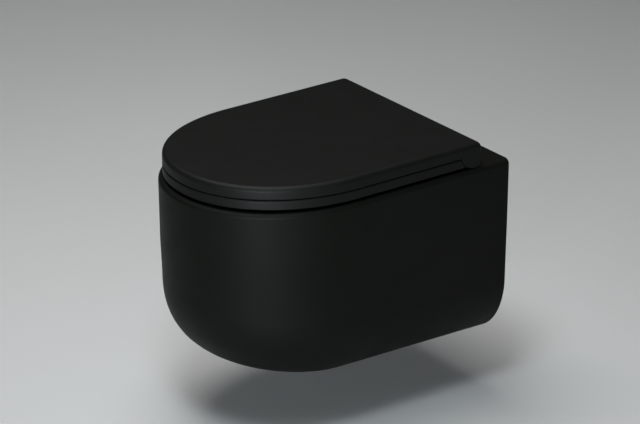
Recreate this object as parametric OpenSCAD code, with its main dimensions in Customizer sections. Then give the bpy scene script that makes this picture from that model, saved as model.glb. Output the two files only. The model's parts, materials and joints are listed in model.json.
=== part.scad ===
// Wall-hung toilet with a rimless bowl, a soft-close seat and lid, and hidden fixings.
// Origin: on the wall, halfway between the two wall-fixing holes. +Z is up, the nose points to -Y,
// and +X is the side on the right hand of someone who stands in front of the pan.

/* [Pan] */
// Width of the pan
pan_w = 360; // [350:1:372]
// Projection of the pan from the wall
pan_l = 500; // [490:1:530]
// Height of the pan from its lowest point to the rim
pan_h = 304; // [296:1:320]
// Length of the straight sides, from the wall forward
side_l = 288; // [270:1:300]
// Fullness of the nose curve, where 2 is an ellipse
nose_power = 2.08; // [2:0.02:2.3]
// How far the sides lean in from the rim to the belly
side_draft = 4.2; // [0:0.2:8]
// How far the nose leans in from the rim to the belly
nose_draft = 3.4; // [0:0.2:8]
// How far the underside rises from the wall to the nose
belly_rise = 9.6; // [0:0.2:16]
// Radius of the rim's outer edge
rim_r = 11; // [6:0.5:13]
// Radius of the pan's edge along the wall
wall_edge_r = 4; // [2:0.5:6]
// Thickness of the outer wall of china
shell_t = 11; // [9:0.5:12]
// Thickness of the flat deck around the bowl
deck_t = 16; // [14:0.5:20]

/* [Belly curves] */
// How far the side belly curve reaches in from the side
side_belly_w = 68; // [55:1:75]
// Height of the side belly curve
side_belly_h = 99; // [85:1:110]
// Fullness of the side belly curve, where 2 is an ellipse
side_belly_power = 1.82; // [1.7:0.02:2.2]
// How far the nose belly curve reaches back from the nose
nose_belly_w = 149; // [120:1:155]
// Height of the nose belly curve
nose_belly_h = 145; // [120:1:155]
// Fullness of the nose belly curve, where 2 is an ellipse
nose_belly_power = 2.48; // [2:0.02:2.6]

/* [Bowl] */
// Half-width of the bowl's mouth
mouth_half_w = 120; // [112:1:124]
// Width of the rim in front of the mouth
front_rim_w = 44; // [40:1:52]
// Distance from the wall to the back of the mouth
mouth_back = 172; // [168:1:184]
// Radius of the rim's inner edge
mouth_r = 9; // [5:0.5:10]
// Depth from the rim to the flushing shelf
shelf_depth = 38; // [32:1:44]
// How far the shelf stands in from the mouth
shelf_w = 7; // [4:0.5:10]
// Depth of the still water's surface below the rim
water_depth = 196; // [190:1:202]
// Half-width of the bowl at the water
water_half_w = 62; // [52:1:70]
// Distance from the wall to the front of the water
water_front = 292; // [280:1:300]
// Depth of the sump's floor below the rim
sump_depth = 284; // [280:1:286]
// Thickness of the bowl's china
bowl_t = 9.5; // [8:0.5:11]

/* [Trap] */
// Width of the trap's passage
trap_w = 66; // [58:1:70]
// Height of the trap's passage
trap_h = 36; // [32:1:38]
// Bend radius of the trap's centre line
trap_bend = 34; // [30:1:38]
// Distance from the wall to the trap's rising leg
trap_leg = 118; // [112:1:124]

/* [Pipes and wall fixings] */
// Height of the rim above the wall fixings
rim_up = 80; // [76:1:90]
// Distance between the wall fixings
fixing_spacing = 180; // [180, 230]
// Radius of the hole for a stud in each wall bush
stud_hole_r = 6.5; // [6:0.1:7]
// Radius of the china's hole for a wall bush
bush_hole_r = 13; // [12:0.5:14]
// Length of the china bosses behind the wall fixings
boss_l = 34; // [28:1:40]
// Height of the flush inlet above the wall fixings
inlet_up = 35; // [34:1:38]
// Radius of the flush inlet's socket
inlet_r = 27.5; // [26:0.5:28]
// Depth of the flush inlet's socket
inlet_l = 45; // [38:1:52]
// Radius of the flush channel behind the bowl
flush_r = 20; // [17:0.5:21]
// Depth of the waste outlet below the wall fixings
outlet_down = 100; // [96:1:104]
// Outer radius of the waste outlet
outlet_r = 51; // [50:0.5:55]
// Thickness of the waste outlet's china
outlet_t = 9; // [8:0.5:10]
// Length of the waste outlet's straight spigot
outlet_l = 62; // [54:1:70]
// How far the waste outlet ends short of the wall
outlet_gap = 6; // [3:0.5:12]

/* [Seat and lid] */
// Gap under the seat, which its buffers fill
seat_gap = 5; // [4:0.25:6]
// Thickness of the seat
seat_t = 15; // [14:0.25:17]
// Gap between the seat and the lid's edge
lid_gap = 0.8; // [0.6:0.1:1.2]
// Height of the lid's edge
lid_t = 20.4; // [19:0.2:22]
// Thickness of the lid's top
lid_skin = 6; // [5:0.25:8]
// Thickness of the lid's edge wall
lid_wall = 7; // [5:0.5:9]
// How far the seat and lid stand in from the pan's sides
lid_side_in = 4.2; // [3:0.2:8]
// How far the seat and lid stand in from the pan's nose
lid_nose_in = 7.4; // [5:0.2:10]
// Distance from the wall to the lid's back edge
lid_back = 53; // [50:1:58]
// Radius of the lid's top edge
lid_edge_r = 5; // [3:0.5:7]
// Radius of the seat's outer edges
seat_edge_r = 3; // [2:0.25:4]
// Half-width of the seat's opening
seat_half_w = 108; // [100:1:112]
// How much narrower the seat's opening is than the bowl's mouth, front and back
seat_lip = 14; // [10:1:20]

/* [Hinge] */
// Height of the hinge axis above the deck
axis_up = 27; // [26:0.25:28]
// Distance from the lid's back edge to the hinge axis
axis_in = 14; // [13.5:0.25:15]
// Radius of the hinge eyes and lugs
eye_r = 9.6; // [8.5:0.1:9.8]
// Radius of the hinge pins
pin_r = 4; // [3:0.25:4.5]
// Radius of the lid's rounded hinge bar
bar_r = 26; // [25:0.25:26.5]
// Distance between the seat bolts
bolt_spacing = 155; // [150:1:160]
// Radius of the china's holes for the seat bolts
bolt_hole_r = 7.5; // [7:0.25:8]
// Radius of the seat bolts
bolt_r = 3; // [2.5:0.25:3.5]
// Half-width of each hinge base
base_half_w = 15; // [14:0.5:17]
// Height of each hinge base's top above the deck
base_h = 11; // [10:0.25:11.5]
// Half-width of each hinge post
post_half_w = 7; // [6:0.25:8]
// Width of the seat's hinge lugs
lug_w = 34; // [30:1:38]
// Radius of the soft-close dampers
damper_r = 6.5; // [6:0.1:7]
// Travel of the release buttons
button_travel = 2.5; // [2:0.25:3]

/* [Clearances] */
// Radial clearance of a turning fit
turn_clear = 0.05; // [0.02:0.01:0.08]
// Gap between pieces that only rest or pass close by
rest_gap = 0.3; // [0.25:0.05:0.4]
// Gap around pieces that swing past each other
swing_gap = 1.2; // [1:0.1:1.5]

/* [Hidden] */

china = [0.12, 0.125, 0.12];
thermoset = [0.14, 0.145, 0.14];
nylon = [0.2, 0.2, 0.21];
steel = [0.72, 0.72, 0.73];
chrome = [0.8, 0.8, 0.82];
brass = [0.72, 0.58, 0.3];
rubber = [0.1, 0.1, 0.1];

// Points on each stretch of a ring, and rings down each curve
nose_steps = 22;
edge_steps = 4;
belly_steps = 11;
mouth_steps = 44;

// Length of the lean that the drafts are given over
draft_run = 270;
side_w = pan_w / 2;

// Heights above the wall fixings
rim_z = rim_up;
floor_z = rim_z - pan_h;
seat_z = rim_z + seat_gap;
seat_top = seat_z + seat_t;
lid_z = seat_top + lid_gap;
lid_top = lid_z + lid_t;
lid_ceiling = lid_top - lid_skin;
axis_z = rim_z + axis_up;
axis_y = -(lid_back + axis_in);

// Plan of the seat and lid
lid_w = side_w - lid_side_in;
lid_l = pan_l - lid_nose_in;

// Where the hinge parts stand on each side
post_x = bolt_spacing / 2;
bay_in = post_x - base_half_w - swing_gap;
lug_in = post_x + post_half_w + swing_gap;
lug_out = lug_in + lug_w;
bay_out = lug_out + swing_gap;

// Hinge pins, dampers and bushes along the axis
pin_reach = 18;
pin_in = bay_in - pin_reach;
pin_out = lug_in + pin_reach;
damper_l = lug_w - 3;
bush_l = 20;

// Hinge base, post and button, measured forward from the hinge axis
base_l = 42;
base_corner_r = 4;
gasket_t = 1;
post_back = 17;
post_t = 9;
post_front = post_back + post_t;
post_foot = 7;
bolt_forward = 7.5;
bolt_y = axis_y - bolt_forward;
bolt_head_r = 5.2;
bolt_head_h = 5;
bolt_socket_r = 2.9;
bolt_socket_deep = 3;
button_w = 18;
button_h = 6.4;
button_z = rim_z + gasket_t + (base_h - gasket_t) / 2;
button_pocket = 12;
grip_r = 0.5;
grip_pitch = 1.6;
button_proud = button_travel + 0.5;
spring_r = 2.3;
spring_wire = 0.25;
spring_turns = 3;
spring_l = button_travel + 1.5;
spring_back = base_l - button_pocket;
button_back = spring_back + spring_l;

// Plug under the deck that holds each seat bolt
boss_drop = 8;
plug_below = 14;
plug_nut_h = 6;
plug_nut_r = 6.5;
plug_bulge_r = 6;
plug_bulge_in = 4;
bolt_end = 2;
bolt_top = rim_z + base_h - 0.4;
plug_top = rim_z - 1;
plug_low = rim_z - deck_t - boss_drop - plug_below;

// Smooth nose and ring outlines
// One point of a ring's outline at angle t of the nose curve, as x, y and the share of nose in it
function nose_point(a, l, s, t) =
    [a * pow(cos(t), 2 / nose_power), -s - (l - s) * pow(sin(t), 2 / nose_power), pow(sin(t), 2)];

// Right half of a ring, from the wall to the nose, with a rounded edge at the wall
function half_ring(a, l, s, back, edge) = [
    for (i = [0:edge_steps - 1])
        let (u = 90 * i / (edge_steps - 1))
        [a - edge * (1 - sin(u)), back - edge * (1 - cos(u)), 0],
    for (i = [0:nose_steps]) nose_point(a, l, s, 90 * i / nose_steps)
];

// Whole ring: the right half and its mirror image
function whole_ring(half) = concat(half, [
    for (i = [len(half) - 2:-1:0]) [-half[i].x, half[i].y, half[i].z]
]);

// Quarter of a superellipse: how far in and how far up its point is at angle u
function curve_in(u, power) = 1 - pow(cos(u), 2 / power);
function curve_up(u, power) = 1 - pow(sin(u), 2 / power);

// Ring of the pan's outside on the belly curve, at angle u, drawn in by d all over
function belly_ring(u, d, back, edge) =
    let (
        a = side_w - d - side_draft - (side_belly_w - d / 2) * curve_in(u, side_belly_power),
        l = pan_l - d - nose_draft - (nose_belly_w - d / 2) * curve_in(u, nose_belly_power),
        up_side = (side_belly_h - d / 2) * curve_up(u, side_belly_power),
        up_nose = (nose_belly_h - d / 2) * curve_up(u, nose_belly_power),
        ring = whole_ring(half_ring(a, l, side_l, back, edge))
    )
    [for (p = ring)
        [p.x, p.y, floor_z + d + up_side * (1 - p.z) + up_nose * p.z - belly_rise * p.y / pan_l]];

// Ring near the rim, drawn in by d, at height z
function rim_ring(z, d, back, edge) =
    let (
        k = (rim_z - z) / draft_run,
        ring = whole_ring(half_ring(side_w - d - side_draft * k, pan_l - d - nose_draft * k,
            side_l, back, edge))
    )
    [for (p = ring) [p.x, p.y, z]];

// Closed solid through a stack of rings, listed from the top down
module skin(rings) {
    n = len(rings[0]);
    last = len(rings) - 1;
    polyhedron(
        points = [for (ring = rings) each ring],
        faces = [
            [for (i = [0:n - 1]) i],
            [for (i = [n - 1:-1:0]) last * n + i],
            for (j = [0:last - 1], i = [0:n - 1])
                let (a = j * n + i, b = j * n + (i + 1) % n)
                each [[a, b + n, b], [a, a + n, b + n]]
        ],
        convexity = 6
    );
}

module pan_outside() {
    skin([
        for (i = [0:edge_steps])
            let (u = 90 * i / edge_steps)
            rim_ring(rim_z - rim_r * (1 - cos(u)), rim_r * (1 - sin(u)), 0, wall_edge_r),
        for (i = [0:belly_steps]) belly_ring(90 * i / belly_steps, 0, 0, wall_edge_r)
    ]);
}

// The hollow between the outer wall and the bowl, which is open to the wall
module pan_hollow() {
    skin([
        rim_ring(rim_z - deck_t, shell_t, 1, 0.5),
        for (i = [0:2:belly_steps + 1]) belly_ring(90 * min(i / belly_steps, 1), shell_t, 1, 0.5)
    ]);
}

// Depths down the bowl: half-width, front and back of the ring at share v of the way to the water
mouth_front = pan_l - front_rim_w;
shelf_z = rim_z - shelf_depth;
water_z = rim_z - water_depth;
sump_z = rim_z - sump_depth;
water_back = mouth_back + 4;
sump_half_w = 36;
sump_front = water_front - 46;
sump_back = water_back + 8;

function mix(a, b, k) = a * (1 - k) + b * k;

// Egg-shaped ring: half-width a, from back to front, drawn out by d
function egg(a, front, back, z, d) = [
    for (i = [0:mouth_steps - 1])
        let (
            t = 360 * i / mouth_steps,
            mid = back + min(a * 1.15, (front - back) / 2),
            half_l = sin(t) < 0 ? front - mid : mid - back
        )
        [(a + d) * cos(t), -mid + (half_l + d) * sin(t), z]
];

// Turned the way skin() wants it, clockwise seen from above
function turned(ring) = [for (i = [len(ring) - 1:-1:0]) ring[i]];

function bowl_ring(v, d) =
    let (k = 1 - pow(1 - pow(v, 2.2), 1 / 1.7))
    egg(
        mix(mouth_half_w - shelf_w, water_half_w, k),
        mix(mouth_front - shelf_w, water_front, 1 - pow(1 - pow(v, 1.5), 1 / 1.5)),
        mix(mouth_back + shelf_w, water_back, k),
        mix(shelf_z - shelf_w, water_z, v) - d * v, d);

bowl_steps = 8;

module bowl_inside() {
    skin([
        for (u = [0, 30, 60, 90])
            turned(egg(mouth_half_w + mouth_r * (1 - sin(u)), mouth_front + mouth_r * (1 - sin(u)),
                mouth_back - mouth_r * (1 - sin(u)),
                rim_z + (u == 0 ? 1 : 0) - mouth_r * (1 - cos(u)), 0)),
        turned(egg(mouth_half_w, mouth_front, mouth_back, shelf_z, 0)),
        for (i = [0:bowl_steps]) turned(bowl_ring(i / bowl_steps, 0)),
        turned(egg(mix(water_half_w, sump_half_w, 0.6), mix(water_front, sump_front, 0.6),
            mix(water_back, sump_back, 0.6), mix(water_z, sump_z, 0.72), 0)),
        turned(egg(sump_half_w, sump_front, sump_back, sump_z, 0))
    ]);
}

module bowl_outside() {
    skin([
        turned(egg(mouth_half_w, mouth_front, mouth_back, rim_z - deck_t / 2, bowl_t)),
        turned(egg(mouth_half_w, mouth_front, mouth_back, shelf_z - bowl_t, bowl_t)),
        for (i = [1:2:bowl_steps]) turned(bowl_ring(i / bowl_steps, bowl_t)),
        turned(egg(water_half_w, water_front, water_back, water_z - bowl_t, bowl_t)),
        turned(egg(sump_half_w, sump_front, sump_back, sump_z - bowl_t, bowl_t))
    ]);
}

// Round-ended slot, w wide and h high
module slot(w, h) {
    square([w - h, h], center = true);
    for (s = [-1, 1]) translate([s * (w - h) / 2, 0]) circle(d = h, $fn = 48);
}

// Trap passage along the pan's centre line, grown by d: in from the sump, up, and back to the outlet
trap_floor_z = sump_z + trap_h / 2 + 1;
outlet_z = -outlet_down;
outlet_end = outlet_gap + outlet_l;

module trap(d, start_y, end_y) {
    w = trap_w + 2 * d;
    h = trap_h + 2 * d;
    low_y = -(trap_leg + trap_bend);
    high_y = -(trap_leg - trap_bend);
    translate([0, start_y, trap_floor_z]) rotate([-90, 0, 0])
        linear_extrude(low_y - start_y) slot(w, h);
    translate([0, low_y, trap_floor_z + trap_bend]) rotate([0, 90, 0]) trap_elbow(w, h);
    translate([0, -trap_leg, trap_floor_z + trap_bend])
        linear_extrude(outlet_z - trap_floor_z - 2 * trap_bend) slot(w, h);
    translate([0, high_y, outlet_z - trap_bend]) rotate([180, 0, 0]) rotate([0, 90, 0])
        trap_elbow(w, h);
    translate([0, high_y, outlet_z]) rotate([-90, 0, 0])
        linear_extrude(end_y - high_y) slot(w, h);
}

// Quarter bend of the trap's passage
module trap_elbow(w, h) {
    rotate_extrude(angle = 90, $fn = 96) translate([trap_bend, 0]) rotate(90) slot(w, h);
}

// Cylinder along Y, from one distance from the wall to another
module along_y(r, from, to) {
    translate([0, -from, 0]) rotate([90, 0, 0]) cylinder(r = r, h = to - from, $fn = 96);
}

// Cylinder along X
module along_x(r, from, to) {
    translate([from, 0, 0]) rotate([0, 90, 0]) cylinder(r = r, h = to - from, $fn = 72);
}

module both_sides(x) {
    for (s = [-1, 1]) translate([s * x, 0, 0]) children();
}

plate_t = 12;
plate_low = -46;

// The flush channel's wall reaches up into the deck
flush_wall = rim_z - deck_t - inlet_up - flush_r + 2;

// All the china there is before anything is hollowed out of the bowl and its passages
module pan_body() {
    difference() {
        pan_outside();
        pan_hollow();
    }
    bowl_outside();
    translate([-(side_w - shell_t) - 2, -plate_t, plate_low])
        cube([2 * (side_w - shell_t) + 4, plate_t, rim_z - deck_t + 4 - plate_low]);
    both_sides(fixing_spacing / 2) along_y(bush_hole_r + 9, plate_t / 2, boss_l);
    translate([0, 0, inlet_up]) {
        along_y(inlet_r + 8, plate_t / 2, inlet_l + 7);
        along_y(flush_r + flush_wall, inlet_l, mouth_back - 4);
    }
    translate([0, 0, outlet_z]) along_y(outlet_r, outlet_gap, outlet_end);
    trap(bowl_t, -(water_back + 20), -(outlet_end - outlet_t / 2));
    both_sides(post_x) translate([0, bolt_y, rim_z - deck_t - boss_drop])
        cylinder(r = bolt_hole_r + 8, h = deck_t, $fn = 64);
}

// The flush inlet and its channel, the waste outlet and the holes for the fixings
module pan_bores() {
    both_sides(fixing_spacing / 2) along_y(bush_hole_r, -1, boss_l + 1);
    both_sides(post_x) translate([0, bolt_y, rim_z - deck_t - boss_drop - 1])
        cylinder(r = bolt_hole_r, h = deck_t + boss_drop + 2, $fn = 64);
    translate([0, 0, inlet_up]) {
        along_y(inlet_r, -1, inlet_l);
        along_y(flush_r, inlet_l - 1, mouth_back + 30);
    }
    translate([0, 0, outlet_z])
        along_y(outlet_r - outlet_t, outlet_gap - 1, outlet_end - outlet_t);
}

module pan() color(china) difference() {
    union() pan_body();
    bowl_inside();
    union() pan_bores();
    trap(0, -(sump_back + 20), -(outlet_end - outlet_t - 4));
}

// Extrusion along X of a profile drawn in Y and Z
module across(from, to) {
    translate([from, 0, 0]) rotate([90, 0, 90]) linear_extrude(to - from) children();
}

// The same, drawn from the hinge axis, on the side that s names: 1 is right and -1 is left
module across_at_axis(s, from, to) {
    translate([0, axis_y, axis_z]) across(min(s * from, s * to), max(s * from, s * to)) children();
}

// Cylinder on the hinge axis, on the side that s names
module turned_about_axis(s, r, from, to) {
    translate([0, axis_y, axis_z]) along_x(r, min(s * from, s * to), max(s * from, s * to));
}

// Rectangle with rounded corners, from one corner at the origin
module rounded(w, l, r) {
    translate([r, 0]) square([w - 2 * r, l]);
    translate([0, r]) square([w, l - 2 * r]);
    for (x = [r, w - r], y = [r, l - r]) translate([x, y]) circle(r = r, $fn = 32);
}

// Plastic piece that spreads the flush water along the shelf
deflector_t = 3;
deflector_w = 64;
deflector_h = 42;
deflector_gap = 8;
deflector_y = mouth_back + shelf_w + deflector_gap;
rib_t = 2.4;
rib_back = 12;
rib_pitch = 10;
spigot_r = flush_r - rest_gap;
spigot_l = 22;
spigot_proud = 3;
deflector_corner_r = 9;

module flush_deflector() color(nylon) translate([0, 0, inlet_up]) {
    difference() {
        along_y(spigot_r, mouth_back - spigot_l, mouth_back + spigot_proud);
        along_y(spigot_r - deflector_t, mouth_back - spigot_l - 1, mouth_back + spigot_proud + 1);
    }
    for (x = [-rib_pitch, 0, rib_pitch]) deflector_rib(x, sqrt(pow(spigot_r - deflector_t / 2, 2) - x * x));
    translate([-deflector_w / 2, -deflector_y, -deflector_h / 2]) rotate([90, 0, 0])
        linear_extrude(deflector_t) rounded(deflector_w, deflector_h, deflector_corner_r);
}

// Upright rib from the spigot to the plate, reaching half_h above and below the channel's middle
module deflector_rib(x, half_h) {
    translate([x - rib_t / 2, -deflector_y - 0.5, -half_h])
        cube([rib_t, deflector_y - mouth_back + rib_back, 2 * half_h]);
}

// Wall fixings, inside the pan
flange_t = 3;
washer_t = 2.5;
nut_h = 10;
nut_flats = 19;
nut_bore_r = 6;

module wall_bushes() color(nylon) both_sides(fixing_spacing / 2) difference() {
    union() {
        along_y(bush_hole_r - 0.1, 0, boss_l + 1);
        along_y(bush_hole_r + 4, boss_l, boss_l + flange_t);
    }
    along_y(stud_hole_r, -1, boss_l + flange_t + 1);
}

module wall_washers() color(steel) both_sides(fixing_spacing / 2) difference() {
    along_y(bush_hole_r + 2, boss_l + flange_t, boss_l + flange_t + washer_t);
    along_y(stud_hole_r, boss_l, boss_l + flange_t + washer_t + 1);
}

module wall_nuts() color(steel) both_sides(fixing_spacing / 2)
    translate([0, -(boss_l + flange_t + washer_t), 0]) rotate([90, 0, 0]) difference() {
        cylinder(d = nut_flats / cos(30), h = nut_h, $fn = 6);
        translate([0, 0, -1]) cylinder(r = nut_bore_r, h = nut_h + 2, $fn = 64);
    }

// Hinge base: bolted to the deck, holds the post's foot and the release button
module base_outline(grow) {
    translate([-base_half_w - grow, -base_l - grow])
        rounded(2 * (base_half_w + grow), base_l + 2 * grow, base_corner_r + grow);
}

module hinge_base(s) color(chrome) translate([s * post_x, axis_y, 0]) difference() {
    translate([0, 0, rim_z + gasket_t]) linear_extrude(base_h - gasket_t) base_outline(0);
    translate([0, -bolt_forward, rim_z]) cylinder(r = bolt_r + 0.2, h = base_h + 1, $fn = 48);
    translate([0, -bolt_forward, bolt_top - bolt_head_h])
        cylinder(r = bolt_head_r + rest_gap, h = bolt_head_h + 1, $fn = 48);
    translate([-post_half_w - 0.1, -post_front - 0.1, rim_z + base_h - post_foot])
        cube([2 * post_half_w + 0.2, post_t + 0.2, post_foot + 1]);
    translate([-button_w / 2 - rest_gap, -base_l - 1, button_z - button_h / 2 - rest_gap])
        cube([button_w + 2 * rest_gap, button_pocket + 1, button_h + 2 * rest_gap]);
}

module hinge_base_left() hinge_base(-1);
module hinge_base_right() hinge_base(1);

module base_gaskets() color(rubber) both_sides(post_x) translate([0, axis_y, rim_z]) difference() {
    linear_extrude(gasket_t) base_outline(-0.5);
    translate([0, -bolt_forward, -1]) cylinder(r = bolt_r + 0.2, h = gasket_t + 2, $fn = 48);
}

// Seat bolts, with the rubber plugs that they pull tight under the deck
module seat_bolts() color(steel) both_sides(post_x) translate([0, bolt_y, 0]) difference() {
    union() {
        translate([0, 0, bolt_top - bolt_head_h]) cylinder(r = bolt_head_r, h = bolt_head_h, $fn = 48);
        translate([0, 0, plug_low - plug_nut_h - bolt_end])
            cylinder(r = bolt_r, h = bolt_top - bolt_head_h - plug_low + plug_nut_h + bolt_end, $fn = 48);
    }
    translate([0, 0, bolt_top - bolt_socket_deep])
        cylinder(r = bolt_socket_r, h = bolt_socket_deep + 1, $fn = 6);
}

module expansion_plugs() color(rubber) both_sides(post_x) translate([0, bolt_y, 0])
    rotate_extrude($fn = 64) difference() {
        union() {
            translate([0, plug_low]) square([bolt_hole_r - 0.1, plug_top - plug_low]);
            translate([bolt_hole_r - plug_bulge_in, plug_low + plug_bulge_r])
                circle(r = plug_bulge_r, $fn = 48);
        }
        translate([-20, plug_low - 10]) square([20 + bolt_r + 0.1, plug_top - plug_low + 20]);
    }

module plug_nuts() color(brass) both_sides(post_x)
    translate([0, bolt_y, plug_low - plug_nut_h]) difference() {
        cylinder(r = plug_nut_r, h = plug_nut_h, $fn = 6);
        translate([0, 0, -1]) cylinder(r = bolt_r + turn_clear, h = plug_nut_h + 2, $fn = 48);
    }

// Hinge post: a bent arm with the eye for the pin, standing in its base
post_depth = axis_up - base_h + post_foot;

module hinge_post(s) color(chrome)
    across_at_axis(s, post_x - post_half_w, post_x + post_half_w) difference() {
        union() {
            circle(r = eye_r, $fn = 64);
            translate([-post_front + post_t / 2, -post_t / 2]) square([post_front - post_t / 2, post_t]);
            translate([-post_front, -post_depth]) square([post_t, post_depth]);
            translate([-post_front + post_t / 2, 0]) circle(d = post_t, $fn = 48);
        }
        circle(r = pin_r + turn_clear, $fn = 64);
    }

module hinge_post_left() hinge_post(-1);
module hinge_post_right() hinge_post(1);

module hinge_pin(s) color(steel) turned_about_axis(s, pin_r, pin_in, pin_out);
module hinge_pin_left() hinge_pin(-1);
module hinge_pin_right() hinge_pin(1);

// Release button in the front of each base, pushed out by a spring
module release_button(s) color(nylon) translate([s * post_x, axis_y, button_z]) difference() {
    translate([-button_w / 2, -base_l - button_proud, -button_h / 2])
        linear_extrude(button_h) rounded(button_w, base_l + button_proud - button_back, 1.5);
    for (k = [-1:1])
        translate([-button_w / 2 - 1, -base_l - button_proud - 0.2, k * grip_pitch]) rotate([0, 90, 0])
            cylinder(r = grip_r, h = button_w + 2, $fn = 16);
}

module release_button_left() release_button(-1);
module release_button_right() release_button(1);

// Coil of the button's spring, between the back of the button and the back of its pocket
spring_steps = 20;

module button_spring(s) color(steel) translate([s * post_x, axis_y - spring_back, button_z]) skin([
    for (i = [0:spring_turns * spring_steps])
        let (
            t = 360 * i / spring_steps,
            y = mix(-spring_wire, -spring_l + spring_wire, i / (spring_turns * spring_steps))
        )
        [for (k = [0:5])
            let (r = spring_r - spring_wire + spring_wire * cos(60 * k))
            [r * cos(t), y + spring_wire * sin(60 * k), r * sin(t)]]
]);

module button_spring_left() button_spring(-1);
module button_spring_right() button_spring(1);

// Slab in the outline of the seat and lid, drawn in by d, with its back edge at the given distance
function slab_ring(z, d, back, edge) = [
    for (p = whole_ring(half_ring(lid_w - d, lid_l - d, side_l, -back - d, edge))) [p.x, p.y, z]
];

// Seat: a ring with two hinge lugs behind it
seat_in_r = 6;
seat_front = mouth_front - seat_lip;
seat_back = mouth_back + seat_lip;
bay_r = 32;
arm_end = bay_r + 6;

module seat_slab() {
    skin([
        for (i = [0:edge_steps])
            let (u = 90 * i / edge_steps)
            slab_ring(seat_top - seat_edge_r * (1 - cos(u)), seat_edge_r * (1 - sin(u)), -axis_y + 8, 2),
        for (i = [edge_steps:-1:0])
            let (u = 90 * i / edge_steps)
            slab_ring(seat_z + seat_edge_r * (1 - cos(u)), seat_edge_r * (1 - sin(u)), -axis_y + 8, 2)
    ]);
}

module seat_opening() {
    skin([
        for (u = [0, 30, 60, 90])
            turned(egg(seat_half_w + seat_in_r * (1 - sin(u)), seat_front + seat_in_r * (1 - sin(u)),
                seat_back - seat_in_r * (1 - sin(u)),
                seat_top + (u == 0 ? 1 : 0) - seat_in_r * (1 - cos(u)), 0)),
        turned(egg(seat_half_w, seat_front, seat_back, seat_z - 1, 0))
    ]);
}

// Side view of a lug: the eye on the axis and the arm that runs forward and down into the ring
module lug_profile() {
    top = seat_top - axis_z - 1;
    low = rim_z + base_h + swing_gap + 0.2 - axis_z;
    circle(r = eye_r, $fn = 64);
    polygon([
        [-eye_r * sin(20), eye_r * cos(20)], [-arm_end, top], [-arm_end, low],
        [-eye_r * sin(20), -eye_r * cos(20)]
    ]);
}

module seat_ring() color(thermoset) difference() {
    union() {
        difference() {
            seat_slab();
            turned_about_axis(1, bar_r + swing_gap, -lid_w - 5, lid_w + 5);
            for (s = [-1, 1]) turned_about_axis(s, bay_r, bay_in, bay_out);
        }
        for (s = [-1, 1]) across_at_axis(s, lug_in, lug_out) lug_profile();
    }
    seat_opening();
    for (s = [-1, 1]) translate([s * post_x, axis_y, 0])
        translate([-base_half_w - swing_gap, -base_l - button_proud - swing_gap, seat_z - 1])
            cube([2 * (base_half_w + swing_gap), base_l, rim_z + base_h + swing_gap - seat_z + 1]);
    turned_about_axis(-1, damper_r + turn_clear, lug_in - 1, lug_in + damper_l);
    turned_about_axis(1, damper_r + turn_clear, lug_in - 1, lug_in + bush_l);
}

// Buffers, each given by its distance from the middle and from the wall
seat_buffer_r = 7;
lid_buffer_r = 5;
seat_buffer_at = [
    [(mouth_half_w + mouth_r + lid_w) / 2, side_l - 83],
    [mouth_half_w * 3 / 8, lid_l - 23.6]
];
lid_buffer_at = [
    [(seat_half_w + seat_in_r + lid_w) / 2, side_l - 73],
    [mouth_half_w / 2, lid_l - 36.6]
];

// Round buffers with a small bevel at the tip, from height z up
module buffers(places, r, z, h) {
    for (p = places) both_sides(p.x) translate([0, -p.y, z]) {
        cylinder(r1 = r - 1, r2 = r, h = 1, $fn = 48);
        translate([0, 0, 1]) cylinder(r = r, h = h - 1, $fn = 48);
    }
}

module seat_buffers() color(rubber)
    buffers(seat_buffer_at, seat_buffer_r, rim_z + rest_gap, seat_gap - rest_gap);

// Sleeve on the hinge axis, from its mouth towards dir, with a bore that turns on the hinge pin
module sleeve(s, mouth, dir, l, bore_l) {
    difference() {
        turned_about_axis(s, damper_r, mouth, mouth + dir * l);
        turned_about_axis(s, pin_r + turn_clear, mouth - dir, mouth + dir * bore_l);
    }
}

// Soft-close dampers, whose housings are fixed in the seat and the lid, and plain bearing bushes
module damper(s, mouth, dir) sleeve(s, mouth, dir, damper_l, pin_reach + 0.5);
module bush(s, mouth, dir) sleeve(s, mouth, dir, bush_l, bush_l + 1);

module seat_damper() color(nylon) damper(-1, lug_in, 1);
module seat_bush() color(nylon) bush(1, lug_in, 1);
module lid_damper() color(nylon) damper(1, bay_in, -1);
module lid_bush() color(nylon) bush(-1, bay_in, -1);

// Lid: a slab hollow from below, with a rounded bar behind it for the hinge
lid_corner_r = 5;
bay_top = axis_z + eye_r + 0.6;
recess_back = -axis_y + bar_r - 1;

module lid_slab() {
    skin([
        for (i = [0:edge_steps])
            let (u = 90 * i / edge_steps)
            slab_ring(lid_top - lid_edge_r * (1 - cos(u)), lid_edge_r * (1 - sin(u)), lid_back,
                lid_corner_r),
        slab_ring(lid_z + 0.8, 0, lid_back, lid_corner_r),
        slab_ring(lid_z, 0.8, lid_back, lid_corner_r)
    ]);
}

// The bar that turns close above the deck and hides the back end of the seat
module lid_bar() {
    intersection() {
        turned_about_axis(1, bar_r, -lid_w, lid_w);
        translate([0, 0, axis_z - bar_r - 1]) linear_extrude(bar_r + 3)
            polygon([for (p = slab_ring(0, 0.3, lid_back, lid_corner_r)) [p.x, p.y]]);
    }
}

module lid_recess() {
    translate([0, 0, axis_z - 20]) linear_extrude(lid_ceiling - axis_z + 20)
        polygon([for (p = slab_ring(0, lid_wall, recess_back - lid_wall, 6)) [p.x, p.y]]);
}

// Hollow in the bar, open to the recess in front of it
module bar_hollow(from, to) {
    translate([0, axis_y, axis_z]) across(from, to) {
        intersection() {
            circle(r = bar_r - 6, $fn = 72);
            translate([-bar_r, -bar_r])
                square([bar_r + axis_in - 6, bar_r + lid_ceiling - axis_z - 0.8]);
        }
        translate([-bar_r - 2, -12]) square([bar_r, 12 + lid_ceiling - axis_z - 0.8]);
    }
}

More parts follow.
